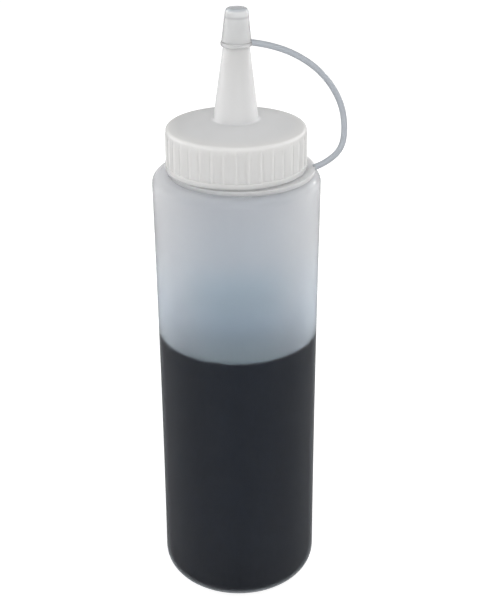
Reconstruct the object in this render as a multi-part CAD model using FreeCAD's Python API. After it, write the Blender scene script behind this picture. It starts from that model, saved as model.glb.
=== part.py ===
import FreeCAD
import Part
import math
import os

# Squeeze bottle with a tapered nozzle, a tethered tip cap and a dark sauce in it.
# Millimetres. +Z runs up the bottle's axis. The origin is the centre of the base, on the
# plane that the bottle stands on. The strap of the tip cap lies on the +X side.

# Body
body_height = 140.1          # base to the flat top of the shoulder
body_radius = 25.0           # under the shoulder
waist_draw = 0.3             # how far the side draws in half way up
foot_draw = 0.05             # how far it draws in above the edge of the base
base_round = 5.9             # radius of the edge round the base
shoulder_round = 3.1         # radius of the edge round the shoulder
wall = 0.8                   # thickness of the blown wall

# Neck and its thread
neck_radius = 17.5           # outside of the neck at the root of the thread
neck_wall = 1.6
thread_pitch = 4.2
thread_depth = 1.2
thread_root = 2.0            # width of the ridge where it leaves the wall
thread_crest = 1.2           # width of the ridge at its top
thread_sink = 0.3            # how far the ridge is rooted in its wall
thread_clearance = 0.3       # between a crest and the wall that faces it
neck_thread_turns = 1.5
cap_thread_turns = 1.0
thread_start = 3.9           # above the shoulder, clear of the collar

# Sauce
fill_level = 88.6            # surface of the sauce above the base

# Screw cap
collar_slot = 1.6            # between the shoulder and the cap, for the collar
cap_height = 12.15           # up to the edge of the domed top
cap_skirt = 1.55             # thickness of the skirt between the ribs
cap_band_proud = 0.1         # plain band at the bottom of the skirt, outside the ribs
cap_band_height = 1.7
cap_round = 1.0              # radius of the edge round the top
cap_dome = 2.65              # rise of the dome's crown above the edge
cap_plate = 1.6              # thickness of the top over the neck's rim
rib_count = 36
rib_depth = 0.25
rib_radius = 0.55
rib_top_gap = 1.5            # ribs end this far below the top of the cap

# Nozzle, moulded with the screw cap
nozzle_length = 32.15        # above the edge of the cap's top
nozzle_base_radius = 6.9     # where its side would meet the level of that edge
nozzle_tip_radius = 2.6
nozzle_wall = 1.0
nozzle_fillet = 0.7

# Tip cap, strap and collar, moulded in one piece
tip_cap_length = 10.6
tip_cap_rim_radius = 4.5
tip_cap_rim_height = 1.2
tip_cap_rim_round = 0.4
tip_cap_base_radius = 4.25   # just above the rim
tip_cap_top_radius = 3.2
tip_cap_round = 1.1
tip_cap_top = 2.0            # thickness of the closed end
tip_cap_clearance = 0.05     # round the nozzle
strap_thickness = 1.8
strap_reach = 10.95          # furthest point of the strap outside the cap's ribs
strap_outer_drop = 24.9      # from the root at the rim down to that furthest point
strap_root_depth = 0.5       # how far the strap is rooted in the rim and in the collar
strap_arc_share = 0.45       # length of each arc's tangent, as a share of the shorter run
# Corners of the strap's route, as shares of the way out and of the way down or up.
strap_upper_corners = [(0.156, 0.018), (0.46, 0.127), (0.744, 0.345), (0.943, 0.675)]
strap_lower_corners = [(0.305, 0.066), (0.908, 0.43)]
collar_band = 2.6            # width of the flat ring
collar_clearance = 0.4       # round the crest of the neck's thread
collar_lift = 0.2            # play of the collar under the cap
collar_shift = 1.5           # the strap pulls the loose collar this far towards +X

# Levels and sizes that follow
foot_radius = body_radius - foot_draw
waist_radius = body_radius - waist_draw
neck_top = body_height + collar_slot + cap_height - cap_plate
cap_bottom = body_height + collar_slot
cap_top = cap_bottom + cap_height
cap_bore = neck_radius + thread_depth + thread_clearance
cap_skirt_radius = cap_bore + cap_skirt
cap_radius = cap_skirt_radius + rib_depth
cap_band_radius = cap_radius + cap_band_proud
cap_edge_centre = (cap_skirt_radius - cap_round, cap_top - cap_round)
dome_depth = (cap_edge_centre[0] ** 2 - cap_dome ** 2) / (2 * cap_dome)
dome_centre = (0, cap_edge_centre[1] - dome_depth)
dome_radius = dome_depth + cap_dome + cap_round
nozzle_top = cap_top + nozzle_length
nozzle_slope = (nozzle_base_radius - nozzle_tip_radius) / nozzle_length
tip_cap_top_level = nozzle_top + tip_cap_top
tip_cap_bottom = tip_cap_top_level - tip_cap_length
collar_inner = neck_radius + thread_depth + collar_clearance
collar_outer = collar_inner + collar_band
collar_thickness = collar_slot - collar_lift
overshoot = 5.0              # how far a cutting body runs past what it cuts


def vector(point):
    """Point of the half plane y = 0 from its radius and height."""
    return FreeCAD.Vector(point[0], 0, point[1])


def polar(centre, radius, degrees):
    """Point on a circle of the half plane, counted from the outward direction."""
    angle = math.radians(degrees)
    return (centre[0] + radius * math.cos(angle), centre[1] + radius * math.sin(angle))


def arc(centre, radius, first, last):
    """Middle and end of an arc, as one step of an outline."""
    return (polar(centre, radius, (first + last) / 2), polar(centre, radius, last))


def spin(start, steps):
    """Solid of revolution. A step is the end of a line, or the middle and the end of an arc."""
    here = start
    edges = []
    for step in steps + [start]:
        if isinstance(step[0], tuple):
            middle, end = step
            edges.append(Part.Arc(vector(here), vector(middle), vector(end)).toShape())
        else:
            end = step
            edges.append(Part.LineSegment(vector(here), vector(end)).toShape())
        here = end
    face = Part.Face(Part.Wire(edges))
    return face.revolve(FreeCAD.Vector(0, 0, 0), FreeCAD.Vector(0, 0, 1), 360)


def body_form(inset, throat_radius, top):
    """The bottle's outer form, or with an inset the hollow inside it."""
    foot_centre = (foot_radius - base_round, base_round)
    shoulder_centre = (body_radius - shoulder_round, body_height - shoulder_round)
    middle_height = (foot_centre[1] + shoulder_centre[1]) / 2
    steps = [
        polar(foot_centre, base_round - inset, -90),
        arc(foot_centre, base_round - inset, -90, 0),
        ((waist_radius - inset, middle_height), polar(shoulder_centre, shoulder_round - inset, 0)),
        arc(shoulder_centre, shoulder_round - inset, 0, 90),
        (throat_radius, body_height - inset),
        (throat_radius, top),
        (0, top),
    ]
    return spin((0, inset), steps)


def thread_ridge(radius, outward, start, turns):
    """Helical ridge on a wall of this radius. Outward is 1 on the neck and -1 in the cap."""
    root = radius - outward * thread_sink
    crest = radius + outward * thread_depth
    corners = [
        (root, start - thread_root / 2),
        (crest, start - thread_crest / 2),
        (crest, start + thread_crest / 2),
        (root, start + thread_root / 2),
        (root, start - thread_root / 2),
    ]
    profile = Part.makePolygon([vector(corner) for corner in corners])
    helix = Part.makeHelix(thread_pitch, thread_pitch * turns, radius)
    helix.translate(FreeCAD.Vector(0, 0, start))
    return Part.Wire(helix.Edges).makePipeShell([profile], True, True)


def make_bottle():
    """Blown body with its threaded neck, open at the mouth."""
    outside = body_form(0, neck_radius, neck_top)
    start = body_height + thread_start
    outside = outside.fuse(thread_ridge(neck_radius, 1, start, neck_thread_turns))
    return outside.cut(body_form(wall, neck_radius - neck_wall, neck_top + overshoot))


def make_sauce():
    """What the hollow body holds up to the fill level."""
    hollow = body_form(wall, neck_radius - neck_wall, neck_top)
    below = Part.makeCylinder(body_radius + overshoot, fill_level)
    return hollow.common(below)


def cone_on_dome(base_radius, reach):
    """Point of a cone beside the nozzle's side that lies at this distance from the dome's centre."""
    depth = cap_top - dome_centre[1]
    square = 1 + nozzle_slope ** 2
    half = depth - nozzle_slope * base_radius
    rest = base_radius ** 2 + depth ** 2 - reach ** 2
    rise = (math.sqrt(half ** 2 - square * rest) - half) / square
    return (base_radius - nozzle_slope * rise, cap_top + rise)


def make_screw_cap():
    """Ribbed cap with its domed top, inner thread and hollow nozzle."""
    ceiling = cap_top - cap_plate
    tilt = math.degrees(math.atan(nozzle_slope))
    stretch = math.sqrt(1 + nozzle_slope ** 2)
    fillet_centre = cone_on_dome(nozzle_base_radius + nozzle_fillet * stretch, dome_radius + nozzle_fillet)
    edge_slope = math.degrees(math.asin(cap_edge_centre[0] / (dome_radius - cap_round)))
    foot_slope = math.degrees(math.asin(fillet_centre[0] / (dome_radius + nozzle_fillet)))
    steps = [
        (cap_band_radius, cap_bottom),
        (cap_band_radius, cap_bottom + cap_band_height),
        (cap_skirt_radius, cap_bottom + cap_band_height),
        polar(cap_edge_centre, cap_round, 0),
        arc(cap_edge_centre, cap_round, 0, 90 - edge_slope),
        arc(dome_centre, dome_radius, 90 - edge_slope, 90 - foot_slope),
        arc(fillet_centre, nozzle_fillet, 270 - foot_slope, 180 + tilt),
        (nozzle_tip_radius, nozzle_top),
        (nozzle_tip_radius - nozzle_wall, nozzle_top),
        cone_on_dome(nozzle_base_radius - nozzle_wall, dome_radius - cap_plate),
        (neck_radius - neck_wall, ceiling),
        (cap_bore, ceiling),
    ]
    cap = spin((cap_bore, cap_bottom), steps)
    rib_bottom = cap_bottom + cap_band_height
    rib_length = cap_top - rib_top_gap - rib_bottom
    rib_place = FreeCAD.Vector(cap_radius - rib_radius, 0, rib_bottom)
    ribs = []
    for index in range(rib_count):
        rib = Part.makeCylinder(rib_radius, rib_length, rib_place)
        rib.rotate(FreeCAD.Vector(0, 0, 0), FreeCAD.Vector(0, 0, 1), 360 * index / rib_count)
        ribs.append(rib)
    start = body_height + thread_start + thread_pitch / 2
    ridge = thread_ridge(cap_bore, -1, start, cap_thread_turns)
    return cap.multiFuse(ribs + [ridge])


def make_tip_cap():
    """Closed cap that is pushed over the nozzle."""
    rim_top = tip_cap_bottom + tip_cap_rim_height
    lower_round = (tip_cap_rim_radius - tip_cap_rim_round, tip_cap_bottom + tip_cap_rim_round)
    upper_round = (tip_cap_rim_radius - tip_cap_rim_round, rim_top - tip_cap_rim_round)
    top_round = (tip_cap_top_radius - tip_cap_round, tip_cap_top_level - tip_cap_round)
    seat = nozzle_tip_radius + tip_cap_clearance
    mouth = seat + nozzle_slope * (nozzle_top - tip_cap_bottom)
    steps = [
        polar(lower_round, tip_cap_rim_round, -90),
        arc(lower_round, tip_cap_rim_round, -90, 0),
        polar(upper_round, tip_cap_rim_round, 0),
        arc(upper_round, tip_cap_rim_round, 0, 90),
        (tip_cap_base_radius, rim_top),
        polar(top_round, tip_cap_round, 0),
        arc(top_round, tip_cap_round, 0, 90),
        (0, tip_cap_top_level),
        (0, nozzle_top),
        (seat, nozzle_top),
    ]
    return spin((mouth, tip_cap_bottom), steps)


def strap_route():
    """Corners of the strap's centre line, from the rim of the tip cap down to the collar."""
    rim_x = tip_cap_rim_radius - strap_root_depth
    rim_z = tip_cap_bottom + strap_thickness / 2
    collar_x = collar_shift + collar_outer - strap_root_depth
    collar_z = body_height + strap_thickness / 2
    reach_x = cap_radius + strap_reach
    reach_z = rim_z - strap_outer_drop
    corners = [(rim_x, rim_z)]
    for out, down in strap_upper_corners:
        corners.append((rim_x + out * (reach_x - rim_x), rim_z + down * (reach_z - rim_z)))
    corners.append((reach_x, reach_z))
    for out, up in reversed(strap_lower_corners):
        corners.append((collar_x + out * (reach_x - collar_x), collar_z + up * (reach_z - collar_z)))
    corners.append((collar_x, collar_z))
    return [vector(corner) for corner in corners]


def rounded_path(corners):
    """Straight runs joined by tangent arcs."""
    here = corners[0]
    edges = []
    for before, corner, after in zip(corners, corners[1:], corners[2:]):
        back = before - corner
        ahead = after - corner
        tangent = strap_arc_share * min(back.Length, ahead.Length)
        half_turn = (math.pi - back.getAngle(ahead)) / 2
        rise = tangent * (1 - math.cos(half_turn)) / math.sin(half_turn)
        back.normalize()
        ahead.normalize()
        inward = back + ahead
        inward.normalize()
        first = corner + back * tangent
        last = corner + ahead * tangent
        edges.append(Part.LineSegment(here, first).toShape())
        edges.append(Part.Arc(first, corner + inward * rise, last).toShape())
        here = last
    edges.append(Part.LineSegment(here, corners[-1]).toShape())
    return Part.Wire(edges)


def make_strap():
    """Round strap between the tip cap and the collar."""
    corners = strap_route()
    start = Part.Circle(corners[0], corners[1] - corners[0], strap_thickness / 2)
    return rounded_path(corners).makePipeShell([Part.Wire([start.toShape()])], True, False)


def make_collar():
    """Loose flat ring round the neck, under the screw cap."""
    place = FreeCAD.Vector(collar_shift, 0, body_height)
    ring = Part.makeCylinder(collar_outer, collar_thickness, place)
    return ring.cut(Part.makeCylinder(collar_inner, collar_thickness, place))


def make_tether():
    """Tip cap, strap and collar as the one moulding that they are."""
    return make_tip_cap().multiFuse([make_strap(), make_collar()])


def export(name, shape):
    """Write one node, which is always a single valid solid."""
    solid = shape.Solids[0]
    print(name, "solids", len(shape.Solids), "valid", solid.isValid(), "cm3", round(solid.Volume / 1000, 2))
    solid.exportStep("parts/" + name + ".step")


os.makedirs("parts", exist_ok=True)
export("bottle", make_bottle())
export("sauce", make_sauce())
export("screw_cap", make_screw_cap())
export("tether_cap", make_tether())
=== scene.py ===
"""Milky squeeze bottle, half full of dark sauce, with its screw cap, nozzle and tethered tip cap.

Every shape is a surface worked out with numpy: a profile of radius and height carried round an
axis, or a circle carried along a path. Lengths are in metres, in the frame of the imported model.
"""
import math

import bpy
import numpy as np
from mathutils import Matrix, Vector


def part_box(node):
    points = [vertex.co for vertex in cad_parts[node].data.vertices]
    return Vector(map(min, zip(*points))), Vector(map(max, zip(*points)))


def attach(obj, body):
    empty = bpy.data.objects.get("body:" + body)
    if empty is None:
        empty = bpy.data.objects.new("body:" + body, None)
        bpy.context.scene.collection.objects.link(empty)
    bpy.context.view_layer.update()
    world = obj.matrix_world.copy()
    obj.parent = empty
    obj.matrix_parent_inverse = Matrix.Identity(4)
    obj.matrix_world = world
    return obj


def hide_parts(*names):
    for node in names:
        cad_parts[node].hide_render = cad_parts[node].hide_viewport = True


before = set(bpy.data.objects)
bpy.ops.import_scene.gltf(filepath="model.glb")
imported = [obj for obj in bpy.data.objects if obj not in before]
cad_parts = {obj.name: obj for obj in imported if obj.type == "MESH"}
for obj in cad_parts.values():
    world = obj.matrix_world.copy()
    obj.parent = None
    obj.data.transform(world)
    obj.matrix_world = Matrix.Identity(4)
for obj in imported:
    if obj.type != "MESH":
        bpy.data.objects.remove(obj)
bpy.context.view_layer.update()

bl_info = {
    "name": "Squeeze Bottle",
    "version": (1, 0, 0),
    "blender": (4, 5, 0),
    "location": "View3D > Sidebar > Bottle",
    "description": "Builds a milky squeeze bottle with sauce, screw cap, nozzle and tethered tip cap",
    "category": "Add Mesh",
}

BODY = "root"
MM = 0.001
TOUCH = 0.01 * MM  # a point this near a surface is on it
RIB_ZONE = 0.3 * MM  # a point this near the skirt can be raised by a rib
DOME_ZONE = 0.1 * MM  # the dome starts this far below the top's edge
# Heights at which the wall's colours paint its shade and blue light near the sauce
PAINTED_WALL_RISES = (0, 11 * MM, 22 * MM, 35 * MM)  # heights of the wall's colours above the sauce

# Longest runs of the outlines, and their longest turn at a corner
BODY_STEP = 2.2 * MM
THREAD_STEP = 0.3 * MM
SAUCE_STEP = 1.5 * MM
SAUCE_RIM_STEP = 0.2 * MM
CAP_STEP = 0.8 * MM
TIP_STEP = 0.5 * MM
COLLAR_STEP = 0.4 * MM
ARC_STEP = math.radians(11)

BOTTLE_LOW, BOTTLE_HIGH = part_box("bottle")
SAUCE_LOW, SAUCE_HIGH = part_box("sauce")
CAP_LOW, CAP_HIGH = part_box("screw_cap")
TETHER_LOW, TETHER_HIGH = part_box("tether_cap")


# ---------------------------------------------------------------- sizes and colours


def length(name, description, default):
    """A length in metres that the user can change."""
    return bpy.props.FloatProperty(
        name=name, description=description, default=default, min=0.0, unit="LENGTH", precision=5
    )


def size(name, description, millimetres):
    """A length given here in millimetres."""
    return length(name, description, millimetres * MM)


def share(name, description, default, highest=1.0):
    """A plain number from 0 up to its highest value."""
    return bpy.props.FloatProperty(
        name=name, description=description, default=default, min=0.0, max=highest, precision=4
    )


def angle(name, description, degrees):
    """An angle, given here in degrees."""
    return bpy.props.FloatProperty(
        name=name, description=description, default=math.radians(degrees), subtype="ANGLE"
    )


def number(name, description, default):
    """A whole number above 0."""
    return bpy.props.IntProperty(name=name, description=description, default=default, min=1)


def colour(name, default):
    """A linear colour."""
    return bpy.props.FloatVectorProperty(
        name=name, description="Colour", default=default, min=0.0, max=1.0, size=3, subtype="COLOR"
    )


class BottleBodySizes(bpy.types.PropertyGroup):
    """Sizes of the blown body and its threaded neck."""

    body_radius: length("Body radius", "Radius under the shoulder", BOTTLE_HIGH[1])
    body_height: length("Body height", "From the base to the shoulder's flat top", TETHER_LOW[2])
    waist_draw: size("Waist", "How far the side draws in half way up", 0.3)
    foot_draw: size("Foot", "How far the side draws in above the base's edge", 0.05)
    base_round: size("Base edge", "Radius of the edge round the base", 5.9)
    shoulder_round: size("Shoulder edge", "Radius of the edge round the shoulder", 3.1)
    wall: length("Wall", "Thickness of the blown wall", SAUCE_LOW[2])
    neck_radius: size("Neck radius", "Outside of the neck at the thread's root", 17.5)
    neck_wall: size("Neck wall", "Thickness of the neck", 1.6)
    neck_top: length("Neck top", "Height of the mouth's rim", BOTTLE_HIGH[2])
    neck_edge: size("Rim edge", "Rounding of the mouth's rim", 0.3)
    neck_fillet: size("Neck fillet", "Fillet at the neck's foot", 0.6)
    thread_pitch: size("Thread pitch", "Rise of the thread in one turn", 4.2)
    thread_depth: size("Thread depth", "Height of the thread's ridge", 1.2)
    thread_root: size("Thread root", "Width of the ridge at the wall", 2.0)
    thread_crest: size("Thread crest", "Width of the ridge at its top", 1.2)
    thread_start: size("Thread start", "Start of the thread above the shoulder", 3.9)
    thread_turns: share("Thread turns", "Turns of the neck's thread", 1.5, 4.0)
    thread_fade: share("Thread fade", "Turn in which a thread's end sinks in", 0.06)
    around: number("Facets", "Facets round the body", 192)


class SauceSizes(bpy.types.PropertyGroup):
    """Sizes of the sauce inside the body."""

    fill_level: length("Fill level", "Height of the sauce's surface", SAUCE_HIGH[2])
    into_wall: size("Into the wall", "How far the sauce's side reaches into the wall", 0.25)
    meniscus: size("Meniscus", "How far the surface climbs at the wall", 0.6)
    meniscus_reach: size("Meniscus reach", "Width of the climbing rim", 1.6)
    rim_round: size("Rim edge", "Rounding of the surface's rim", 0.15)


class ScrewCapSizes(bpy.types.PropertyGroup):
    """Sizes of the screw cap and the nozzle on it."""

    bottom: length("Bottom", "Height of the skirt's lower edge", CAP_LOW[2])
    height: size("Height", "Height of the cap without its nozzle", 12.15)
    band_radius: length("Band radius", "Radius of the plain band", CAP_HIGH[1])
    band_height: size("Band height", "Height of the plain band", 1.7)
    band_proud: size("Band step", "How far the band stands outside the ribs", 0.1)
    rib_count: number("Ribs", "Ribs round the skirt", 36)
    rib_depth: size("Rib depth", "How far a rib stands out", 0.25)
    rib_radius: size("Rib rounding", "Radius of a rib's section", 0.55)
    rib_top_gap: size("Rib end", "Ribs end this far below the top", 1.5)
    rib_top_fade: size("Rib fade", "Height in which a rib's top sinks in", 0.6)
    rib_foot_below: size("Rib foot, low", "A rib starts this far below the band's top", 0.3)
    rib_foot_above: size("Rib foot, high", "A rib is whole this far above it", 0.1)
    edge_round: size("Top edge", "Radius of the edge round the top", 1.0)
    lip_round: size("Lip edge", "Rounding of the lip and over the band", 0.15)
    band_low_round: size("Band's foot", "Rounding of the band's lower edge", 0.12)
    band_top_round: size("Band's top", "Rounding of the band's upper edge", 0.2)
    tip_round: size("Nozzle tip edge", "Rounding of the nozzle's tip", 0.25)
    inner_round: size("Inner edges", "Rounding inside the cap", 0.3)
    dome: size("Dome", "Rise of the top's crown above its edge", 2.65)
    plate: size("Top", "Thickness of the top over the neck's rim", 1.6)
    bore_gap: size("Thread gap", "Gap between a thread's crest and the facing wall", 0.3)
    thread_turns: share("Thread turns", "Turns of the cap's thread", 1.0, 4.0)
    nozzle_top: length("Nozzle top", "Height of the nozzle's tip", CAP_HIGH[2])
    nozzle_base_radius: size("Nozzle base", "Nozzle's radius at the level of the top's edge", 6.9)
    nozzle_tip_radius: size("Nozzle tip", "Radius of the nozzle at its tip", 2.6)
    nozzle_wall: size("Nozzle wall", "Thickness of the nozzle's wall", 1.0)
    nozzle_fillet: size("Nozzle fillet", "Fillet between cap and nozzle", 0.7)
    nozzle_lean: size("Nozzle lean", "How far the strap draws the nozzle's tip aside", 0.4)


class TetherSizes(bpy.types.PropertyGroup):
    """Sizes of the tip cap, its strap and the collar."""

    top: length("Top", "Height of the tip cap's closed end", TETHER_HIGH[2])
    cap_length: size("Tip cap length", "Length of the tip cap", 10.6)
    rim_radius: size("Rim radius", "Radius of the tip cap's rim", 4.5)
    rim_height: size("Rim height", "Height of the rim", 1.2)
    rim_round: size("Rim edge", "Rounding of the rim", 0.4)
    base_radius: size("Base radius", "Radius just above the rim", 4.25)
    top_radius: size("Top radius", "Radius at the closed end", 3.2)
    top_round: size("Top edge", "Rounding of the closed end", 1.1)
    mouth_round: size("Mouth edge", "Rounding of the mouth and over the rim", 0.15)
    inner_round: size("Inner edges", "Rounding of the seat and the collar's hole", 0.2)
    clearance: size("Clearance", "Gap round the nozzle", 0.05)
    strap_radius: size("Strap radius", "Radius of the round strap", 0.9)
    strap_points: number("Strap steps", "Points along the strap", 160)
    strap_around: number("Strap facets", "Facets round the strap", 32)
    strap_root: size("Strap root", "How far the strap is rooted in rim and collar", 0.5)
    strap_reach: size("Strap reach", "Furthest point of the strap outside the cap's ribs", 10.95)
    strap_drop: size("Strap drop", "From the rim down to the furthest point", 24.9)
    collar_radius: length("Collar radius", "Outer radius of the collar", TETHER_HIGH[1])
    collar_shift: size("Collar shift", "How far the strap pulls the collar", 1.5)
    collar_band: size("Collar band", "Width of the collar", 2.6)
    collar_thickness: size("Collar thickness", "Thickness of the collar", 1.4)
    collar_low_round: size("Collar's foot", "Rounding of the collar's lower edge", 0.3)
    collar_top_round: size("Collar's top", "Rounding of the collar's upper edge", 0.12)


class FinishSettings(bpy.types.PropertyGroup):
    """Colours and finish of the plastic and the sauce, with the light and shade that are painted into the
    colours.
    """

    wall_colour: colour("Wall", (0.70, 0.71, 0.73))
    # Painted light and shade: these colours paint the shade and blue cast that the dark sauce gives the wall
    wall_middle_painted_light: colour("Wall, halfway to the sauce", (0.645, 0.705, 0.75))
    wall_low_painted_light: colour("Wall, near the sauce", (0.735, 0.805, 0.875))
    wall_line_painted_light: colour("Wall at the sauce", (0.88, 0.96, 1.0))
    # Painted shade: the wall's colour darkens towards the foot
    wall_foot_painted_shade: colour("Wall, foot", (0.42, 0.45, 0.48))
    # Painted light: colours of the wall's sides, where they are seen aslant
    wall_aslant_painted_light: colour("Wall, aslant", (0.755, 0.76, 0.77))
    wall_aslant_low_painted_light: colour("Wall at the sauce, aslant", (0.75, 0.79, 0.83))
    # Height at which the painted shade at the foot has gone
    wall_foot_shade_rise: size("Foot's rise", "Height at which the foot's colour has gone", 23.6)
    shoulder_gloss: share("Shoulder gloss", "Gloss of the body's shoulder", 0.2)
    shoulder_gloss_reach: size("Gloss reach", "Start of the gloss below the shoulder's top", 12.4)
    wall_roughness: share("Wall frosting", "Roughness of the milky wall", 1.0)
    skirt_colour: colour("Skirt", (0.675, 0.675, 0.668))
    # Painted light and shade: the top is painted greyer over the open neck and the nozzle lighter
    plate_painted_shade: colour("Screw cap's top", (0.655, 0.66, 0.665))
    nozzle_painted_light: colour("Nozzle", (0.92, 0.93, 0.94))
    cap_soak: size("Cap's soak", "How deep light soaks into the screw cap", 7)
    tip_colour: colour("Tip cap", (0.91, 0.92, 0.93))
    # Painted shade: a greyer ring for the nozzle's rim seen through, and a greyer closed end
    tip_ring_painted_shade: colour("Tip cap at the nozzle's end", (0.72, 0.73, 0.74))
    tip_end_painted_shade: colour("Tip cap's end", (0.66, 0.70, 0.74))
    tip_soak: size("Tip cap's soak", "How deep light soaks into the tip cap", 3)
    strap_colour: colour("Strap", (0.49, 0.52, 0.56))
    collar_colour: colour("Collar", (0.98, 0.99, 1.0))
    collar_soak: size("Collar's soak", "How deep light soaks into the collar", 6)
    sauce_colour: colour("Sauce", (0.0095, 0.0115, 0.017))


class StageSettings(bpy.types.PropertyGroup):
    """Floor, lamps and camera."""

    floor_radius: length("Floor radius", "Radius of the round floor", 1.2)
    floor_around: number("Floor facets", "Facets round the floor", 96)
    floor_bounce: share("Floor's bounce", "Share of the light it gives back", 0.85)
    floor_shadow: share("Floor's shadow", "Share of the light that the eye sees", 0.40)
    floor_white: share("Floor's white", "Plain white that the eye sees besides", 0.82)
    camera_distance: length("Camera distance", "Camera to the bottle's axis, on the level", 0.33124)
    camera_height: length("Camera height", "Camera above the floor", 0.25862)
    camera_pitch: angle("Camera pitch", "Camera's tilt below the level", 25.92)
    camera_yaw: angle("Camera yaw", "Camera's turn towards +X", 0.67)
    camera_roll: angle("Camera roll", "Camera's turn about its own axis", -0.19)
    camera_lens: share("Camera lens", "Focal length in millimetres on a 36 mm sensor", 71.02, 500.0)
    sky_light: share("Sky light", "Strength of the white surroundings as a light", 0.5, 10.0)
    lamp_colour: colour("Lamps", (1.0, 0.985, 0.97))
    lamp_aim: length("Lamps' aim", "Height on the axis that the lamps point at", 0.12)


class BottleSettings(bpy.types.PropertyGroup):
    """All the settings of the bottle and its stage."""

    body: bpy.props.PointerProperty(type=BottleBodySizes)
    sauce: bpy.props.PointerProperty(type=SauceSizes)
    cap: bpy.props.PointerProperty(type=ScrewCapSizes)
    tether: bpy.props.PointerProperty(type=TetherSizes)
    finish: bpy.props.PointerProperty(type=FinishSettings)
    stage: bpy.props.PointerProperty(type=StageSettings)


def settings():
    """The scene's bottle settings."""
    return bpy.context.scene.squeeze_bottle


# ---------------------------------------------------------------- surfaces


def outline(corners, step, loop=False):
    """Profile of (radius, height) points through rounded corners.

    Each corner is (radius, height, rounding). A rounding of r replaces the corner by the arc of
    radius r that touches both of its runs: centre = corner + bisector * r / sin(half angle).
    Runs are divided evenly, no longer than step.
    """
    places = np.array([corner[:2] for corner in corners], dtype=float)
    pieces = []
    for index, corner in enumerate(corners):
        here = places[index]
        before = places[index - 1]
        after = places[(index + 1) % len(corners)]
        if corner[2] == 0 or (not loop and index in (0, len(corners) - 1)):
            pieces.append(here[None, :])
            continue
        back = (before - here) / np.linalg.norm(before - here)
        ahead = (after - here) / np.linalg.norm(after - here)
        half = math.acos(np.clip(back @ ahead, -1, 1)) / 2
        bisector = (back + ahead) / np.linalg.norm(back + ahead)
        centre = here + bisector * corner[2] / math.sin(half)
        sweep = math.pi - 2 * half
        count = max(3, int(math.ceil(sweep / ARC_STEP)) + 1)
        tangent = here + back * corner[2] / math.tan(half) - centre
        side = np.sign(back[0] * ahead[1] - back[1] * ahead[0])
        turns = np.linspace(0, sweep, count) * -side
        cos, sin = np.cos(turns), np.sin(turns)
        arms = [tangent[0] * cos - tangent[1] * sin, tangent[0] * sin + tangent[1] * cos]
        pieces.append(centre + np.stack(arms, axis=1))
    points = np.concatenate(pieces)
    following = np.roll(points, -1, axis=0)
    runs = np.linalg.norm(following - points, axis=1)
    if not loop:
        runs[-1] = 0
    parts = np.maximum(1, np.ceil(runs / step).astype(int))
    starts = np.repeat(np.arange(len(points)), parts)
    within = np.arange(len(starts)) - np.repeat(np.cumsum(parts) - parts, parts)
    weight = (within / parts[starts])[:, None]
    return points[starts] * (1 - weight) + following[starts] * weight


def grid_faces(rows, columns, loop):
    """Quads between neighbouring rows and columns. Columns close on themselves, rows only in a loop."""
    row = np.arange(rows if loop else rows - 1)[:, None]
    column = np.arange(columns)[None, :]
    row_next = (row + 1) % rows
    column_next = (column + 1) % columns
    corners = np.broadcast_arrays(
        row * columns + column,
        row * columns + column_next,
        row_next * columns + column_next,
        row_next * columns + column,
    )
    return np.stack([corner.ravel() for corner in corners], axis=1)


def fan_faces(ring, pole, turned):
    """Triangles from a ring of points to its pole."""
    following = np.roll(ring, -1)
    middle = np.full_like(ring, pole)
    order = [ring, middle, following] if turned else [ring, following, middle]
    return np.stack(order, axis=1)


def enclosed_volume(points, faces):
    """Six times the signed volume: the sum of a . (b x c) over triangles fanned from each face."""
    total = 0.0
    for middle in range(1, faces.shape[1] - 1):
        a, b, c = points[faces[:, 0]], points[faces[:, middle]], points[faces[:, middle + 1]]
        total += np.einsum("ij,ij->", a, np.cross(b, c))
    return total


def closed_surface(grid, loop):
    """Points and faces of a closed surface over a grid of rows by columns.

    Columns run round. A loop's rows join end to end, and otherwise the first and last rows
    shrink to one pole each.
    """
    rows, columns = grid.shape[:2]
    if loop:
        points = grid.reshape(-1, 3)
        sets = [grid_faces(rows, columns, True)]
    else:
        body = grid[1:-1].reshape(-1, 3)
        points = np.concatenate([body, grid[:1, 0], grid[-1:, 0]])
        first = np.arange(columns)
        last = first + (rows - 3) * columns
        sets = [
            grid_faces(rows - 2, columns, False),
            fan_faces(first, len(body), True),
            fan_faces(last, len(body) + 1, False),
        ]
    if sum(enclosed_volume(points, faces) for faces in sets) < 0:
        sets = [faces[:, ::-1] for faces in sets]
    return points, sets


def revolved(profile, angles, loop, swell=None):
    """Surface of revolution: x = r cos a, y = r sin a, z = h.

    Here r is the profile's radius, plus swell(a, h, radius) where that is given.
    """
    radius = np.repeat(profile[:, :1], len(angles), axis=1)
    height = np.repeat(profile[:, 1:], len(angles), axis=1)
    turn = np.repeat(angles[None, :], len(profile), axis=0)
    if swell is not None:
        radius = radius + swell(turn, height, radius)
    grid = np.stack([radius * np.cos(turn), radius * np.sin(turn), height], axis=2)
    return closed_surface(grid, loop)


def make_piece(name, surface, material, slot, *nodes):
    """One mesh object from a closed surface, riding on the part's body in place of its CAD nodes."""
    points, sets = surface
    mesh = bpy.data.meshes.new(name)
    mesh.from_pydata(points.tolist(), [], [face for part in sets for face in part.tolist()])
    mesh.polygons.foreach_set("use_smooth", np.ones(len(mesh.polygons), dtype=bool))
    mesh.update()
    piece = bpy.data.objects.new(name, mesh)
    bpy.context.collection.objects.link(piece)
    mesh.materials.append(material)
    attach(piece, BODY)
    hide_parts(*nodes)


def even_angles(count):
    """Angles of a full turn, without its end."""
    return np.linspace(0, 2 * math.pi, count, endpoint=False)


def smooth_step(low, high, value):
    """0 below low, 1 above high, and 3 t^2 - 2 t^3 between."""
    t = np.clip((value - low) / (high - low), 0, 1)
    return t * t * (3 - 2 * t)


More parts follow.
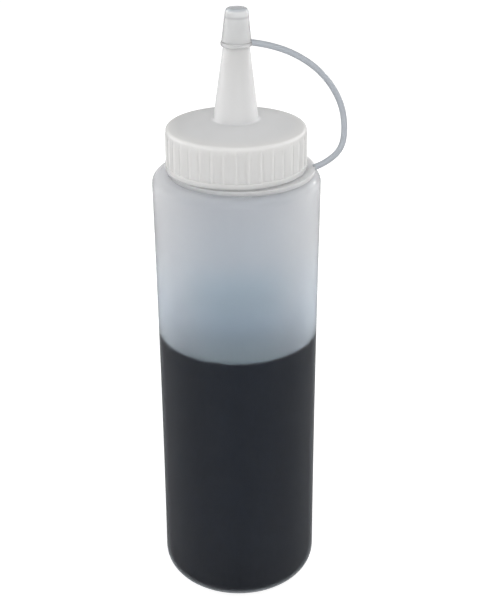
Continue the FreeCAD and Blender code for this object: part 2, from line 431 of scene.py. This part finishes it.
def thread_ridge(body, turn, height, start, turns):
    """Height of a helical ridge, 0 to 1: a trapezium about z = start + pitch * (k + a / 2 pi)."""
    lap = turn / (2 * math.pi)
    whole = np.round((height - start) / body.thread_pitch - lap)
    away = np.abs(height - start - (whole + lap) * body.thread_pitch)
    slope = (body.thread_root - body.thread_crest) / 2
    ridge = smooth_step(0, 1, (body.thread_root / 2 - away) / slope)
    travelled = whole + lap
    fade = body.thread_fade
    ends = smooth_step(-fade, fade, travelled) * (1 - smooth_step(turns - fade, turns + fade, travelled))
    return ridge * ends


# ---------------------------------------------------------------- materials


def new_material(name):
    """An empty node material with its output and one Principled shader."""
    material = bpy.data.materials.new(name)
    material.use_nodes = True
    tree = material.node_tree
    shader = tree.nodes["Principled BSDF"]
    return material, tree, shader


def feed(tree, node, **sources):
    """Feeds a node's inputs from other outputs or plain values. A name has _ for each space."""
    for name, source in sources.items():
        join(tree, source, node.inputs[name.replace("_", " ")])
    return node


def add_node(tree, kind, **sources):
    """A new node with some of its inputs fed."""
    return feed(tree, tree.nodes.new(kind), **sources)


def join(tree, source, place):
    """Feeds an input from another node's output, or sets it to a plain value."""
    if isinstance(source, bpy.types.NodeSocket):
        tree.links.new(source, place)
    else:
        place.default_value = source


def worked(tree, operation, *values):
    """Output of a Math node. Its values are outputs or numbers."""
    made = tree.nodes.new("ShaderNodeMath")
    made.operation = operation
    for value, place in zip(values, made.inputs):
        join(tree, value, place)
    return made.outputs["Value"]


def scaled(tree, base, factor):
    """A colour times a factor. Each is an output or a plain value."""
    made = tree.nodes.new("ShaderNodeVectorMath")
    made.operation = "SCALE"
    join(tree, base, made.inputs[0])
    return feed(tree, made, Scale=factor).outputs["Vector"]


def ranged(tree, value, low, high, to_low=0.0, to_high=1.0, smooth=False):
    """The value with low to high made to_low to to_high, and held beyond them."""
    made = add_node(tree, "ShaderNodeMapRange", Value=value, From_Min=low, From_Max=high)
    if smooth:
        made.interpolation_type = "SMOOTHSTEP"
    return feed(tree, made, To_Min=to_low, To_Max=to_high).outputs["Result"]


def object_place(tree):
    """Object coordinates."""
    return tree.nodes.new("ShaderNodeTexCoord").outputs["Object"]


def noise(tree, place, **values):
    """Noise about 0.5. Its scale is in lumps to the metre."""
    return add_node(tree, "ShaderNodeTexNoise", Vector=place, **values).outputs["Fac"]


def moulded_group():
    """Node group of moulded polythene, from Object coordinates.

    The height is a fine grain on slow ripples, the shade follows the ripples, and faint rub marks
    vary the roughness. Most of a noise lies between 0.3 and 0.7, which is spread over each range.
    """
    if "moulded_polythene" in bpy.data.node_groups:
        return bpy.data.node_groups["moulded_polythene"]
    group = bpy.data.node_groups.new("moulded_polythene", "ShaderNodeTree")
    face = group.interface
    face.new_socket(name="Roughness", in_out="INPUT", socket_type="NodeSocketFloat")
    for name in ("Roughness", "Height", "Shade"):
        face.new_socket(name=name, in_out="OUTPUT", socket_type="NodeSocketFloat")
    given = group.nodes.new("NodeGroupInput").outputs
    result = group.nodes.new("NodeGroupOutput").inputs
    place = object_place(group)
    grain = noise(group, place, Scale=900.0, Detail=2.0, Roughness=0.5)
    ripple = noise(group, place, Scale=55.0, Detail=2.0, Roughness=0.4)
    rub = noise(group, place, Scale=160.0, Detail=4.0, Roughness=0.7)
    height = worked(group, "MULTIPLY_ADD", grain, 0.4, ripple)
    rubbed = worked(group, "MULTIPLY", ranged(group, rub, 0.3, 0.7, 0.92, 1.08), given["Roughness"])
    shade = ranged(group, ripple, 0.3, 0.7, 0.97, 1.0)
    for name, output in (("Roughness", rubbed), ("Height", height), ("Shade", shade)):
        group.links.new(output, result[name])
    return group


def facing(tree):
    """0 where the surface is seen straight on, and 1 where it is seen edge on."""
    return add_node(tree, "ShaderNodeLayerWeight", Blend=0.5).outputs["Facing"]


def painted_edge_shade(tree, base, loss, power):
    """Painted shade where the surface is seen edge on: colour * (1 - loss * facing ^ power)."""
    narrow = worked(tree, "POWER", facing(tree), power)
    return scaled(tree, base, worked(tree, "MULTIPLY_ADD", narrow, -loss, 1.0))


def aslant(tree, straight, oblique, low=0.08, high=0.36):
    """Painted light on a milky wall: where it is seen aslant, at its sides, it takes a less blue, mostly
    paler colour, which stands in for the light that its sides catch.

    It turns from straight to oblique while facing goes from low to high.
    """
    share_of = ranged(tree, facing(tree), low, high, smooth=True)
    blend = add_node(tree, "ShaderNodeMixRGB", Fac=share_of, Color1=straight, Color2=oblique)
    return blend.outputs["Color"]


def moulded(tree, shader, base, roughness, bump, edge_shade=0.0, edge_shade_power=1.0):
    """Gives a Principled shader the moulded finish: colour * shade, varied roughness and a fine bump.

    The base is a colour or the output of a node. Painted shade may darken it where the surface is seen edge
    on.
    """
    finish = tree.nodes.new("ShaderNodeGroup")
    finish.node_tree = moulded_group()
    made = feed(tree, finish, Roughness=roughness).outputs
    seen = scaled(tree, base, made["Shade"])
    # Painted shade at the edges, where the surface is seen edge on
    if edge_shade:
        seen = painted_edge_shade(tree, seen, edge_shade, edge_shade_power)
    relief = add_node(tree, "ShaderNodeBump", Strength=1.0, Distance=bump, Height=made["Height"])
    feed(tree, shader, Base_Color=seen, Roughness=made["Roughness"], Normal=relief.outputs["Normal"])


def colour_stops(tree, distance, stops):
    """A colour that changes smoothly with a distance, by stops of a distance and a colour."""
    low, high = stops[0][0], stops[-1][0]
    ramp = tree.nodes.new("ShaderNodeValToRGB")
    ramp.color_ramp.interpolation = "EASE"
    marks = ramp.color_ramp.elements
    while len(marks) < len(stops):
        marks.new(1.0)
    for mark, (place, shade) in zip(marks, stops):
        mark.position = (place - low) / (high - low)
        mark.color = (*shade, 1)
    return feed(tree, ramp, Fac=ranged(tree, distance, low, high)).outputs["Color"]


def height_above(tree):
    """Height above the base."""
    return add_node(tree, "ShaderNodeSeparateXYZ", Vector=object_place(tree)).outputs["Z"]


def axis_distance(tree):
    """Distance from the bottle's axis."""
    flat = tree.nodes.new("ShaderNodeVectorMath")
    flat.operation = "MULTIPLY"
    flat.inputs[1].default_value = (1, 1, 0)
    tree.links.new(object_place(tree), flat.inputs[0])
    away = tree.nodes.new("ShaderNodeVectorMath")
    away.operation = "LENGTH"
    tree.links.new(flat.outputs["Vector"], away.inputs[0])
    return away.outputs["Value"]


def milky_wall():
    """Frosted polythene of the blown body: light passes it, but scatters. Its colour is painted by height:
    painted shade and a blue cast of light near the dark sauce, painted shade towards the foot, and painted
    light where its sides are seen aslant.

    Its moulded shoulder is glossier than its side.
    """
    finish = settings().finish
    body = settings().body
    level = settings().sauce.fill_level
    material, tree, shader = new_material("milky_wall")
    height = height_above(tree)
    # Painted light and shade: the colours above the sauce paint the wall darker and bluer near it
    painted_tints = (finish.wall_line_painted_light, finish.wall_low_painted_light, finish.wall_middle_painted_light, finish.wall_colour)
    # Painted shade: the wall is painted darker towards the foot
    stops = [(0, finish.wall_foot_painted_shade), (finish.wall_foot_shade_rise, finish.wall_line_painted_light)]
    stops += [(level + rise, tint) for rise, tint in zip(PAINTED_WALL_RISES, painted_tints)]
    straight = colour_stops(tree, height, stops)
    # Painted light: the colours seen aslant paint the wall's sides paler and less blue
    ends = (level, finish.wall_aslant_low_painted_light), (level + PAINTED_WALL_RISES[-1], finish.wall_aslant_painted_light)
    oblique = colour_stops(tree, height, ends)
    tint = aslant(tree, straight, oblique)
    # Painted shade darkens the wall's edges where it is seen edge on
    moulded(tree, shader, tint, finish.wall_roughness, bump=0.02 * MM, edge_shade=0.7, edge_shade_power=8.0)
    low = body.body_height - finish.shoulder_gloss_reach
    high = body.body_height - body.shoulder_round
    gloss = ranged(tree, height, low, high, 0.0, finish.shoulder_gloss, smooth=True)
    feed(tree, shader, Transmission_Weight=1.0, IOR=1.4, Coat_Weight=gloss, Coat_Roughness=0.15)
    return material


def cap_plastic():
    """Thicker, whiter polythene that light soaks into, painted greyer over the open neck as shade and lighter
    on the nozzle as light; its edges are painted darker.
    """
    finish = settings().finish
    body = settings().body
    cap = settings().cap
    material, tree, shader = new_material("cap_polythene")
    # Painted light and shade by distance from the axis: the nozzle is painted lighter and the top over the
    # open neck greyer, while the skirt keeps its own colour
    stops = [
        (cap.nozzle_base_radius - cap.nozzle_fillet, finish.nozzle_painted_light),
        (cap.nozzle_base_radius + cap.nozzle_fillet, finish.plate_painted_shade),
        (body.neck_radius - body.neck_wall, finish.plate_painted_shade),
        (cap.band_radius - cap.edge_round, finish.skirt_colour),
    ]
    tint = colour_stops(tree, axis_distance(tree), stops)
    # Painted shade darkens the cap's edges where it is seen edge on
    moulded(tree, shader, tint, roughness=0.45, bump=0.02 * MM, edge_shade=0.6, edge_shade_power=3.0)
    feed(tree, shader, Specular_IOR_Level=0.12, Coat_Weight=0.15, Coat_Roughness=0.12)
    soak(tree, shader, finish.cap_soak)
    return material


def soak(tree, shader, depth):
    """Lets light soak through the plastic to this depth."""
    feed(tree, shader, Subsurface_Weight=1.0, Subsurface_Radius=(1, 1, 1), Subsurface_Scale=depth)


def tip_plastic():
    """Thin polythene of the tip cap, clear enough to show the nozzle's tip inside.

    A greyer ring is painted round it just below the nozzle's end, as painted shade of the nozzle's rim seen
    through it, and its closed end is painted greyer as shade.
    """
    finish = settings().finish
    tip, top = settings().cap.nozzle_top, settings().tether.top
    material, tree, shader = new_material("tip_polythene")
    # Painted shade: a grey ring where the nozzle's end shows through, and a greyer closed end
    stops = [
        (tip - 1.0 * MM, finish.tip_colour),
        (tip - 0.4 * MM, finish.tip_ring_painted_shade),
        (tip + 0.2 * MM, finish.tip_colour),
        (top - 1.0 * MM, finish.tip_colour),
        (top - 0.3 * MM, finish.tip_end_painted_shade),
    ]
    tint = colour_stops(tree, height_above(tree), stops)
    # Painted shade darkens the tip cap's edges where it is seen edge on
    moulded(tree, shader, tint, roughness=0.25, bump=0.01 * MM, edge_shade=0.75, edge_shade_power=2.5)
    feed(tree, shader, Transmission_Weight=0.5, IOR=1.25)
    soak(tree, shader, finish.tip_soak)
    return material


def strap_plastic():
    """Grey, half clear polythene of the strap."""
    tint = settings().finish.strap_colour
    material, tree, shader = new_material("strap_polythene")
    # Painted shade darkens the strap's edges where it is seen edge on
    moulded(tree, shader, tint, roughness=0.3, bump=0.01 * MM, edge_shade=0.6, edge_shade_power=2.0)
    feed(tree, shader, Transmission_Weight=0.5, IOR=1.25)
    return material


def collar_plastic():
    """Milky polythene of the collar under the screw cap."""
    finish = settings().finish
    material, tree, shader = new_material("collar_polythene")
    moulded(tree, shader, finish.collar_colour, roughness=0.4, bump=0.01 * MM)
    feed(tree, shader, Transmission_Weight=0.4)
    soak(tree, shader, finish.collar_soak)
    return material


def dark_sauce():
    """Thin dark sauce. Only its free surface is glossy: its side clings to the frosted wall."""
    sauce = settings().sauce
    material, tree, shader = new_material("dark_sauce")
    surface = sauce.fill_level - sauce.meniscus
    free = ranged(tree, height_above(tree), surface - 0.3 * MM, surface - 0.1 * MM)
    feed(tree, shader, Base_Color=(*settings().finish.sauce_colour, 1.0), Roughness=0.25)
    feed(tree, shader, Specular_IOR_Level=0.0, Coat_Weight=free, Coat_Roughness=0.1)
    return material


def view_rays(tree):
    """1 for camera, glossy and transmission rays, which see the white surroundings."""
    path = tree.nodes.new("ShaderNodeLightPath").outputs
    direct = worked(tree, "MAXIMUM", path["Is Camera Ray"], path["Is Glossy Ray"])
    return worked(tree, "MAXIMUM", direct, path["Is Transmission Ray"])


def floor_paint():
    """Pale floor: a plain diffuse white as a light, and near white with a faint shadow to the eye."""
    stage = settings().stage
    material, tree, shader = new_material("pale_floor")
    tree.nodes.remove(shader)
    bounce = add_node(tree, "ShaderNodeBsdfDiffuse", Color=(*[stage.floor_bounce] * 3, 1))
    shadow = add_node(tree, "ShaderNodeBsdfDiffuse", Color=(*[stage.floor_shadow] * 3, 1))
    white = add_node(tree, "ShaderNodeEmission", Color=(1, 1, 1, 1), Strength=stage.floor_white)
    seen = tree.nodes.new("ShaderNodeAddShader")
    tree.links.new(shadow.outputs[0], seen.inputs[0])
    tree.links.new(white.outputs[0], seen.inputs[1])
    pick = add_node(tree, "ShaderNodeMixShader", Fac=view_rays(tree))
    tree.links.new(bounce.outputs[0], pick.inputs[1])
    tree.links.new(seen.outputs[0], pick.inputs[2])
    tree.links.new(pick.outputs[0], tree.nodes["Material Output"].inputs["Surface"])
    return material


# ---------------------------------------------------------------- pieces


def drawn_in(body, height):
    """How far the side stands inside the body radius: a foot draw that falls off upwards, plus a parabola."""
    low, high = body.base_round, body.body_height - body.shoulder_round
    along = np.clip((height - low) / (high - low), 0, 1)
    bow = body.waist_draw - body.foot_draw / 2
    return body.foot_draw * (1 - along) + 4 * bow * along * (1 - along)


def body_outline(body, inset):
    """Corners of the body's side from its base's axis to the shoulder's flat, outside or inset."""
    return [
        (0, inset, 0),
        (body.body_radius - inset, inset, body.base_round - inset),
        (body.body_radius - inset, body.body_height - inset, body.shoulder_round - inset),
    ]


def with_run(profile, chosen, run):
    """The profile with its chosen points, which follow each other, changed for a finer run."""
    where = np.flatnonzero(chosen)
    return np.concatenate([profile[: where[0]], run, profile[where[-1] + 1 :]])


class SQUEEZE_OT_bottle_body(bpy.types.Operator):
    """Blown body with its threaded neck, as one closed shell"""

    bl_idname = "squeeze.bottle_body"
    bl_label = "Bottle body"

    def execute(self, context):
        body = settings().body
        inner = body.neck_radius - body.neck_wall
        corners = [
            *body_outline(body, 0),
            (body.neck_radius, body.body_height, body.neck_fillet),
            (body.neck_radius, body.neck_top, body.neck_edge),
            (inner, body.neck_top, body.neck_edge),
            (inner, body.body_height - body.wall, body.neck_fillet),
            *reversed(body_outline(body, body.wall)),
        ]
        profile = outline(corners, BODY_STEP)
        low, high = body.body_height + body.neck_fillet, body.neck_top - body.neck_edge
        on_neck = (profile[:, 1] > low) & (profile[:, 0] > body.neck_radius - TOUCH)
        run = outline([(body.neck_radius, low, 0), (body.neck_radius, high, 0)], THREAD_STEP)
        profile = with_run(profile, on_neck, run)
        start = body.body_height + body.thread_start

        def swell(turn, height, radius):
            side = -drawn_in(body, height) * smooth_step(0, body.base_round, height)
            side = np.where(radius > body.body_radius - body.shoulder_round, side, 0)
            threaded = (np.abs(radius - body.neck_radius) < TOUCH) & (height > body.body_height)
            thread = body.thread_depth * thread_ridge(body, turn, height, start, body.thread_turns)
            return side + np.where(threaded, thread, 0)

        surface = revolved(profile, even_angles(body.around), False, swell)
        make_piece("bottle_body", surface, milky_wall(), "milky_plastic", "bottle")
        return {"FINISHED"}


class SQUEEZE_OT_sauce(bpy.types.Operator):
    """Sauce up to its level, reaching just into the wall, with a small meniscus"""

    bl_idname = "squeeze.sauce"
    bl_label = "Sauce"

    def execute(self, context):
        body = settings().body
        sauce = settings().sauce
        inset = body.wall - sauce.into_wall
        edge = body.body_radius - inset
        inside = edge - sauce.meniscus_reach
        corners = [
            (0, inset, 0),
            (edge, inset, body.base_round - inset),
            (edge, sauce.fill_level, sauce.rim_round),
            (0, sauce.fill_level, 0),
        ]
        profile = outline(corners, SAUCE_STEP)
        on_rim = (profile[:, 1] > sauce.fill_level - TOUCH) & (profile[:, 0] > inside)
        run = outline([(inside, sauce.fill_level, 0), (edge, sauce.fill_level, 0)], SAUCE_RIM_STEP)
        profile = with_run(profile, on_rim, run[::-1][1:])

        def swell(turn, height, radius):
            side = -drawn_in(body, height) * smooth_step(0, body.base_round, height)
            return side * smooth_step(0, body.body_radius / 2, radius)

        points, sets = revolved(profile, even_angles(body.around), False, swell)
        climb = np.clip((np.hypot(points[:, 0], points[:, 1]) - inside) / sauce.meniscus_reach, 0, 1) ** 2
        on_top = points[:, 2] > sauce.fill_level - sauce.rim_round - TOUCH
        points[:, 2] -= np.where(on_top, sauce.meniscus * (1 - climb), 0)
        make_piece("sauce", (points, sets), dark_sauce(), "sauce", "sauce")
        return {"FINISHED"}


def nozzle_slope(cap):
    """Loss of the nozzle's radius for each metre of its height."""
    return (cap.nozzle_base_radius - cap.nozzle_tip_radius) / (cap.nozzle_top - cap.bottom - cap.height)


def rib_half_width(cap):
    """Half the width of a rib where it leaves the skirt: the half chord of its round section."""
    return math.sqrt(cap.rib_radius**2 - (cap.rib_radius - cap.rib_depth) ** 2)


def rib_angles(cap, skirt):
    """Angles round the skirt: seven on each rib, closest at its sides, and three between two ribs."""
    pitch = 2 * math.pi / cap.rib_count
    on_rib = np.array([-1.0, -0.85, -0.55, 0.0, 0.55, 0.85, 1.0]) * rib_half_width(cap) / skirt
    between = np.array([0.3, 0.5, 0.7]) * pitch
    one = np.concatenate([on_rib, between])
    return (np.arange(cap.rib_count)[:, None] * pitch + one[None, :]).ravel()


class SQUEEZE_OT_screw_cap(bpy.types.Operator):
    """Ribbed screw cap and hollow nozzle, as one closed shell"""

    bl_idname = "squeeze.screw_cap"
    bl_label = "Screw cap"

    def execute(self, context):
        body = settings().body
        cap = settings().cap
        top = cap.bottom + cap.height
        ceiling = top - cap.plate
        band_top = cap.bottom + cap.band_height
        rib_top = top - cap.rib_top_gap
        skirt = cap.band_radius - cap.band_proud - cap.rib_depth
        bore = body.neck_radius + body.thread_depth + cap.bore_gap
        crown = skirt - cap.edge_round
        dome_radius = (crown**2 + cap.dome**2) / (2 * cap.dome)
        foot_rise = cap.dome - cap.nozzle_base_radius**2 / (2 * dome_radius)
        foot = cap.nozzle_base_radius - nozzle_slope(cap) * foot_rise
        corners = [
            (bore, cap.bottom, cap.lip_round),
            (cap.band_radius, cap.bottom, cap.band_low_round),
            (cap.band_radius, band_top, cap.band_top_round),
            (skirt, band_top, cap.lip_round),
            (skirt, top, cap.edge_round),
            (foot, top + foot_rise, cap.nozzle_fillet),
            (cap.nozzle_tip_radius, cap.nozzle_top, cap.tip_round),
            (cap.nozzle_tip_radius - cap.nozzle_wall, cap.nozzle_top, cap.tip_round),
            (foot - cap.nozzle_wall, top + foot_rise - cap.plate, cap.inner_round),
            (body.neck_radius - body.neck_wall, ceiling, cap.inner_round),
            (bore, ceiling, cap.inner_round),
        ]
        profile = outline(corners, CAP_STEP, loop=True)
        # The chord from edge to nozzle bulges out to the dome: (crown - r) * (r - foot) / (2 * radius)
        bulge = np.clip((crown - profile[:, 0]) * (profile[:, 0] - foot), 0, None) / (2 * dome_radius)
        profile[:, 1] += np.where(profile[:, 1] > top - DOME_ZONE, bulge, 0)
        pitch = 2 * math.pi / cap.rib_count
        half = rib_half_width(cap)
        start = body.body_height + body.thread_start + body.thread_pitch / 2

        def swell(turn, height, radius):
            across = (np.mod(turn + pitch / 2, pitch) - pitch / 2) * skirt
            across = np.clip(np.abs(across), 0, half)
            raised = np.sqrt(cap.rib_radius**2 - across**2) - (cap.rib_radius - cap.rib_depth)
            up = smooth_step(band_top - cap.rib_foot_below, band_top + cap.rib_foot_above, height)
            up = up * (1 - smooth_step(rib_top - cap.rib_top_fade, rib_top, height))
            outside = np.abs(radius - skirt) < RIB_ZONE
            inside = (np.abs(radius - bore) < TOUCH) & (height > cap.bottom) & (height < ceiling)
            thread = body.thread_depth * thread_ridge(body, turn, height, start, cap.thread_turns)
            return np.where(outside, raised * up, 0) - np.where(inside, thread, 0)

        surface = leaned(revolved(profile, rib_angles(cap, skirt), True, swell), cap)
        make_piece("screw_cap_and_nozzle", surface, cap_plastic(), "cap_plastic", "screw_cap")
        return {"FINISHED"}


def leaned(surface, cap):
    """The surface with its nozzle drawn to the strap: x + lean * (share of the way up the nozzle) ^ 1.5."""
    points, sets = surface
    top = cap.bottom + cap.height
    along = np.clip((points[:, 2] - top) / (cap.nozzle_top - top), 0, None)
    points[:, 0] += cap.nozzle_lean * along**1.5
    return points, sets


def strap_corners(body, cap, tether):
    """Corners of the strap's centre line in the plane y = 0, from the tip cap's rim to the collar.

    They are given as shares of the way across and up, from the rim to the furthest point, and
    back from the furthest point to the collar.
    """
    rim_root = tether.rim_radius - tether.strap_root
    rim = np.array([rim_root, tether.top - tether.cap_length + tether.strap_radius])
    collar_root = tether.collar_shift + tether.collar_radius - tether.strap_root
    collar = np.array([collar_root, body.body_height + tether.strap_radius])
    reach = np.array([cap.band_radius - cap.band_proud + tether.strap_reach, rim[1] - tether.strap_drop])
    upper = np.array([(0, 0), (0.156, 0.018), (0.46, 0.127), (0.744, 0.345), (0.943, 0.675), (1, 1)])
    lower = np.array([(0.908, 0.43), (0.305, 0.066), (0, 0)])
    return np.concatenate([rim + upper * (reach - rim), collar + lower * (reach - collar)])


def strap_line(corners, count):
    """Smooth line through the corners' polygon: a clamped quadratic B-spline, read at even steps."""
    curve = bpy.data.curves.new("strap_line", "CURVE")
    curve.dimensions = "3D"
    spline = curve.splines.new("NURBS")
    spline.points.add(len(corners) - 1)
    flat = np.zeros((len(corners), 4))
    flat[:, 0], flat[:, 2], flat[:, 3] = corners[:, 0], corners[:, 1], 1
    spline.points.foreach_set("co", flat.ravel())
    spline.order_u = 3
    spline.use_endpoint_u = True
    spline.resolution_u = 24
    holder = bpy.data.objects.new("strap_line", curve)
    mesh = bpy.data.meshes.new_from_object(holder)
    points = np.empty(len(mesh.vertices) * 3)
    mesh.vertices.foreach_get("co", points)
    points = points.reshape(-1, 3)
    bpy.data.objects.remove(holder)
    bpy.data.curves.remove(curve)
    bpy.data.meshes.remove(mesh)
    steps = np.concatenate([[0], np.cumsum(np.linalg.norm(np.diff(points, axis=0), axis=1))])
    even = np.linspace(0, steps[-1], count)
    return np.stack([np.interp(even, steps, points[:, axis]) for axis in range(3)], axis=1)


def tube(line, radius, around):
    """Round tube along a line in the plane y = 0, closed by poles.

    Each point is the line's point + radius * (normal * cos a + Y * sin a).
    """
    ahead = np.gradient(line, axis=0)
    ahead /= np.linalg.norm(ahead, axis=1)[:, None]
    normal = np.stack([-ahead[:, 2], np.zeros(len(line)), ahead[:, 0]], axis=1)
    turn = even_angles(around)
    arms = normal[:, None, :] * np.cos(turn)[None, :, None]
    arms = arms + np.array([0, 1, 0]) * np.sin(turn)[None, :, None]
    grid = line[:, None, :] + arms * radius
    ends = [np.repeat(line[None, :1], around, axis=1), np.repeat(line[None, -1:], around, axis=1)]
    return closed_surface(np.concatenate([ends[0], grid, ends[1]]), False)


class SQUEEZE_OT_tether(bpy.types.Operator):
    """Tip cap, round strap and collar, moulded in one"""

    bl_idname = "squeeze.tether"
    bl_label = "Tip cap and strap"

    def execute(self, context):
        body = settings().body
        cap = settings().cap
        tether = settings().tether
        line = strap_line(strap_corners(body, cap, tether), tether.strap_points)
        strap = tube(line, tether.strap_radius, tether.strap_around)
        for name, surface, material in (
            ("tip_cap", leaned(self.tip_cap(body, cap, tether), cap), tip_plastic()),
            ("strap", strap, strap_plastic()),
            ("collar", self.collar(body, tether), collar_plastic()),
        ):
            make_piece(name, surface, material, "tether_plastic", "tether_cap")
        return {"FINISHED"}

    def tip_cap(self, body, cap, tether):
        """Tapered cap with a rim, hollow from below to fit the nozzle."""
        bottom = tether.top - tether.cap_length
        rim_top = bottom + tether.rim_height
        seat = cap.nozzle_tip_radius + tether.clearance
        mouth = seat + nozzle_slope(cap) * (cap.nozzle_top - bottom)
        corners = [
            (0, tether.top, 0),
            (tether.top_radius, tether.top, tether.top_round),
            (tether.base_radius, rim_top, tether.mouth_round),
            (tether.rim_radius, rim_top, tether.rim_round),
            (tether.rim_radius, bottom, tether.rim_round),
            (mouth, bottom, tether.mouth_round),
            (seat, cap.nozzle_top, tether.inner_round),
            (0, cap.nozzle_top, 0),
        ]
        return revolved(outline(corners, TIP_STEP), even_angles(body.around // 2), False)

    def collar(self, body, tether):
        """Flat ring round the neck, pulled aside by the strap."""
        inner = tether.collar_radius - tether.collar_band
        low = body.body_height
        high = low + tether.collar_thickness
        corners = [
            (inner, low, tether.inner_round),
            (tether.collar_radius, low, tether.collar_low_round),
            (tether.collar_radius, high, tether.collar_top_round),
            (inner, high, tether.inner_round),
        ]
        profile = outline(corners, COLLAR_STEP, loop=True)
        points, sets = revolved(profile, even_angles(body.around), True)
        points[:, 0] += tether.collar_shift
        return points, sets


class SQUEEZE_OT_stage(bpy.types.Operator):
    """Pale floor, white surroundings, soft lamps and the camera"""

    bl_idname = "squeeze.stage"
    bl_label = "Stage"

    def execute(self, context):
        scene = context.scene
        stage = settings().stage
        turn = even_angles(stage.floor_around)
        ring = np.stack([np.cos(turn), np.sin(turn), 0 * turn], axis=1) * stage.floor_radius
        mesh = bpy.data.meshes.new("floor")
        mesh.from_pydata(ring.tolist(), [], [list(range(stage.floor_around))])
        floor = bpy.data.objects.new("floor", mesh)
        scene.collection.objects.link(floor)
        mesh.materials.append(floor_paint())
        self.make_surroundings(scene, stage)
        self.make_lamps(scene, stage)
        self.make_camera(scene, stage)
        scene.view_settings.view_transform = "Standard"
        return {"FINISHED"}

    def make_surroundings(self, scene, stage):
        """White world: 1 to the eye, and the sky light's strength as a light."""
        world = bpy.data.worlds.new("white_room")
        world.use_nodes = True
        scene.world = world
        tree = world.node_tree
        level = ranged(tree, view_rays(tree), 0.0, 1.0, stage.sky_light, 1.0)
        feed(tree, tree.nodes["Background"], Color=(1, 1, 1, 1), Strength=level)

    def make_lamps(self, scene, stage):
        """Large soft lamps at both sides and in front, and a small one at the right back."""
        target = np.array([0, 0, stage.lamp_aim])
        for name, place, size, power in (
            ("soft_left", (-0.55, 0.2, 0.3), 0.45, 1.65),
            ("soft_right", (0.55, 0.25, 0.3), 0.45, 1.6),
            ("soft_front", (0.0, -0.7, 0.5), 0.5, 3.2),
            ("small_right", (0.5, 0.55, 0.35), 0.08, 1.2),
        ):
            lamp = bpy.data.lights.new(name, "AREA")
            lamp.size = size
            lamp.energy = power
            lamp.color = stage.lamp_colour
            holder = bpy.data.objects.new(name, lamp)
            scene.collection.objects.link(holder)
            holder.location = place
            holder.rotation_euler = direction_rotation(target - place)

    def make_camera(self, scene, stage):
        """Camera in front of the bottle, looking down on it."""
        camera = bpy.data.cameras.new("camera")
        camera.lens = stage.camera_lens
        camera.sensor_width = 36
        camera.clip_start = 0.01
        holder = bpy.data.objects.new("camera", camera)
        scene.collection.objects.link(holder)
        turned = Matrix.Rotation(-stage.camera_yaw, 4, "Z")
        tilted = Matrix.Rotation(math.pi / 2 - stage.camera_pitch, 4, "X")
        rolled = Matrix.Rotation(stage.camera_roll, 4, "Z")
        place = Matrix.Translation((0, -stage.camera_distance, stage.camera_height))
        holder.matrix_world = place @ turned @ tilted @ rolled
        scene.camera = holder


def direction_rotation(aim):
    """Euler angles that point a lamp along aim."""
    flat = math.hypot(aim[0], aim[1])
    return (math.pi / 2 + math.atan2(aim[2], flat), 0, math.atan2(-aim[0], aim[1]))


class SQUEEZE_PT_panel(bpy.types.Panel):
    """The bottle's pieces, in the order in which they are made"""

    bl_idname = "SQUEEZE_PT_panel"
    bl_label = "Squeeze bottle"
    bl_space_type = "VIEW_3D"
    bl_region_type = "UI"
    bl_category = "Bottle"

    def draw(self, context):
        for operator in OPERATORS:
            self.layout.operator(operator.bl_idname)
        held = settings()
        for group in (held.body, held.sauce, held.cap, held.tether, held.finish, held.stage):
            box = self.layout.box()
            for key in type(group).__annotations__:
                box.prop(group, key)


GROUPS = (
    BottleBodySizes,
    SauceSizes,
    ScrewCapSizes,
    TetherSizes,
    FinishSettings,
    StageSettings,
    BottleSettings,
)
OPERATORS = (
    SQUEEZE_OT_bottle_body,
    SQUEEZE_OT_sauce,
    SQUEEZE_OT_screw_cap,
    SQUEEZE_OT_tether,
    SQUEEZE_OT_stage,
)


def register():
    for group in GROUPS + OPERATORS + (SQUEEZE_PT_panel,):
        bpy.utils.register_class(group)
    bpy.types.Scene.squeeze_bottle = bpy.props.PointerProperty(type=BottleSettings)


def unregister():
    del bpy.types.Scene.squeeze_bottle
    for group in reversed(GROUPS + OPERATORS + (SQUEEZE_PT_panel,)):
        bpy.utils.unregister_class(group)


def main():
    """Builds every piece and the stage."""
    register()
    bpy.ops.squeeze.bottle_body()
    bpy.ops.squeeze.sauce()
    bpy.ops.squeeze.screw_cap()
    bpy.ops.squeeze.tether()
    bpy.ops.squeeze.stage()


if __name__ == "__main__":
    main()
